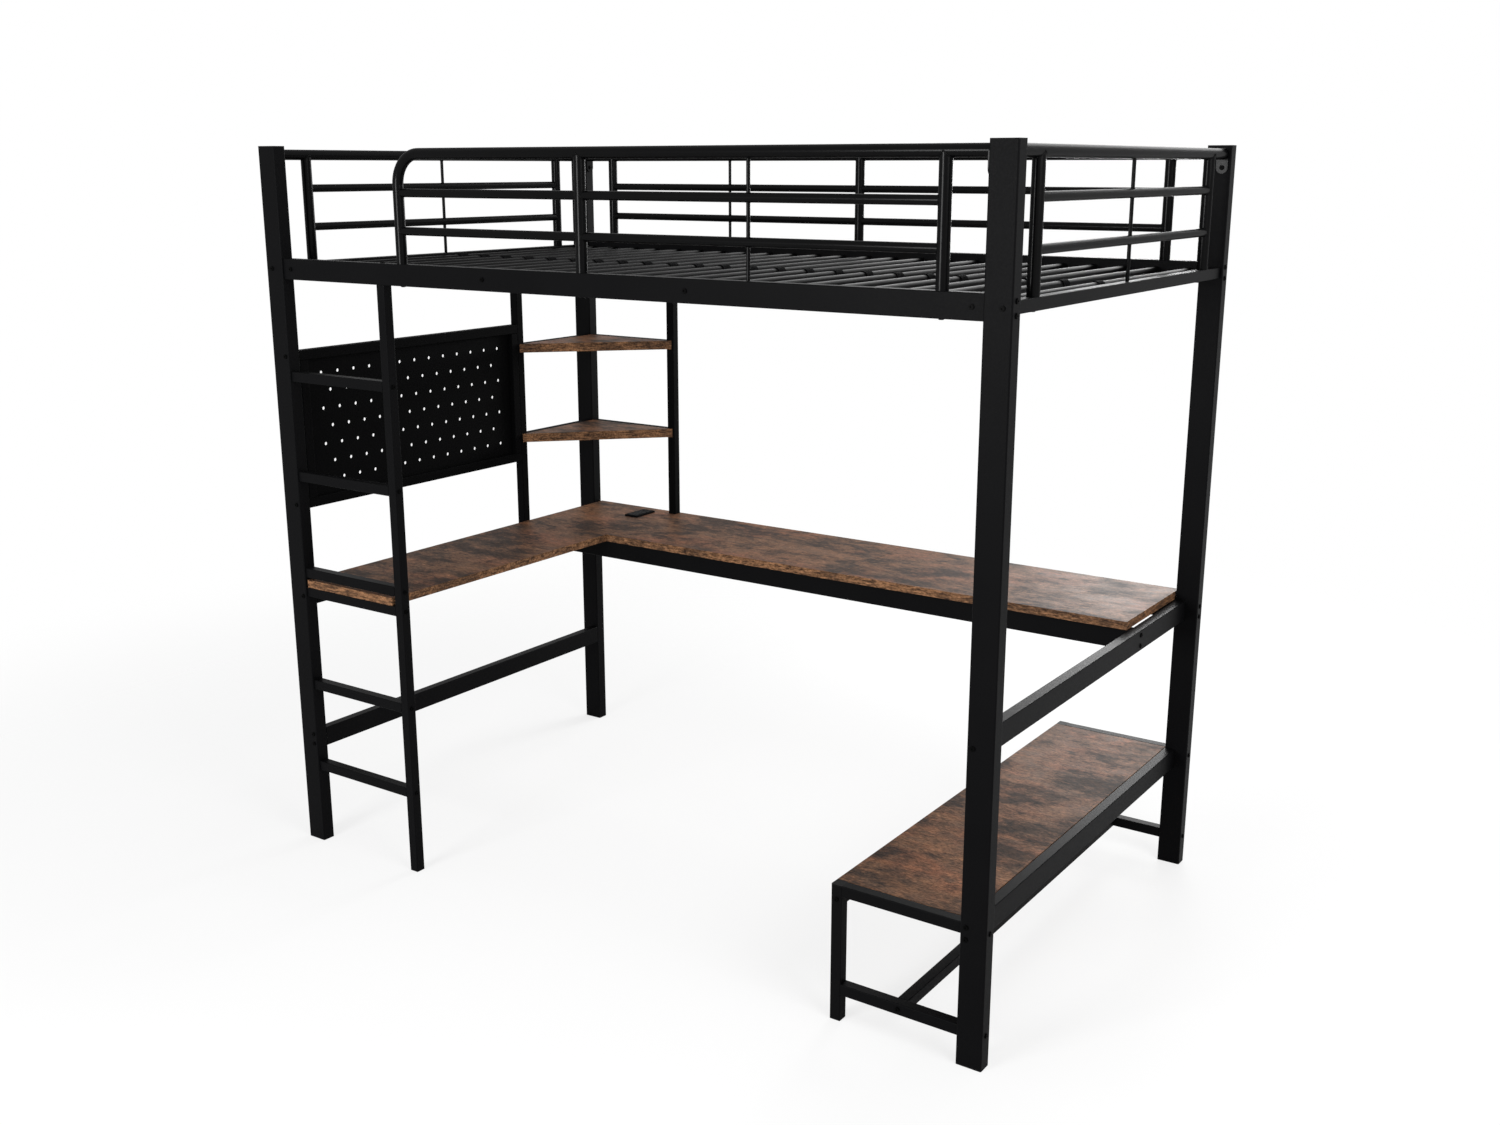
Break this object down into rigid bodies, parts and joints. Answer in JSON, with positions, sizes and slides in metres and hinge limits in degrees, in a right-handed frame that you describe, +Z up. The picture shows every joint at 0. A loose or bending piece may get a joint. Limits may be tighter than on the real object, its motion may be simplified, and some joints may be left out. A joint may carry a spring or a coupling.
{
  "type": "loft bed with desk",
  "caption": "Raised black tube bed frame with guardrails and a built-in ladder over an L-shaped desk, corner shelves, pegboard and bench.",
  "frame": {"origin": "centre of the footprint at floor level, under the feet of the corner posts", "axes": "+Z up; +X along the length of the bed from the ladder end towards the bench end; +Y from the open front towards the desk at the back"},
  "size_m": [1.995, 1.183, 1.791],
  "materials": {
    "black_powder_coat": "satin powder coat",
    "black_bolt": "black oxide",
    "bare_steel": "zinc plated",
    "black_plastic": "matte",
    "socket_plastic": "satin",
    "rustic_board": "printed rustic brown laminate"
  },
  "bodies": {
    "root": {"post_front_left": "black_powder_coat", "post_front_right": "black_powder_coat", "post_back_left": "black_powder_coat", "post_back_right": "black_powder_coat", "front_side_rail": "black_powder_coat", "back_side_rail": "black_powder_coat", "left_end_rail": "black_powder_coat", "right_end_rail": "black_powder_coat", "bed_slats": "black_powder_coat", "back_guardrail": "black_powder_coat", "front_guardrail": "black_powder_coat", "left_guardrail": "black_powder_coat", "right_guardrail": "black_powder_coat", "ladder_leg": "black_powder_coat", "ladder_rungs": "black_powder_coat", "desk_end_bar": "black_powder_coat", "desk_left_rail": "black_powder_coat", "desk_right_rail": "black_powder_coat", "desk_back_rail": "black_powder_coat", "desk_front_rail": "black_powder_coat", "left_upright": "black_powder_coat", "back_upright": "black_powder_coat", "pegboard_frame": "black_powder_coat", "pegboard_panel": "black_powder_coat", "left_low_rail": "black_powder_coat", "bench_legs": "black_powder_coat", "bench_front_rail": "black_powder_coat", "bench_back_rail": "black_powder_coat", "bench_inner_rail": "black_powder_coat", "bench_outer_rail": "black_powder_coat", "bench_short_stretchers": "black_powder_coat", "bench_long_stretcher": "black_powder_coat", "bench_cleats": "black_powder_coat", "long_post_bolts": "black_bolt", "short_post_bolts": "black_bolt", "bar_bolts": "black_bolt", "rail_bolts": "black_bolt", "plate_bolts": "black_bolt", "rail_end_blocks": "bare_steel", "bar_end_blocks": "bare_steel", "guard_plugs": "bare_steel", "slat_plugs": "bare_steel", "plate_nuts": "bare_steel", "board_screws": "black_bolt", "post_top_caps": "black_plastic", "post_feet": "black_plastic", "leg_feet": "black_plastic", "bench_leg_caps": "black_plastic", "slat_sleeves": "black_plastic", "outlet_housing": "black_plastic", "outlet_sockets": "socket_plastic", "desk_return_board": "rustic_board", "desk_board_left": "rustic_board", "desk_board_right": "rustic_board", "shelf_upper": "rustic_board", "shelf_lower": "rustic_board", "bench_board": "rustic_board"}
  },
  "joints": []
}
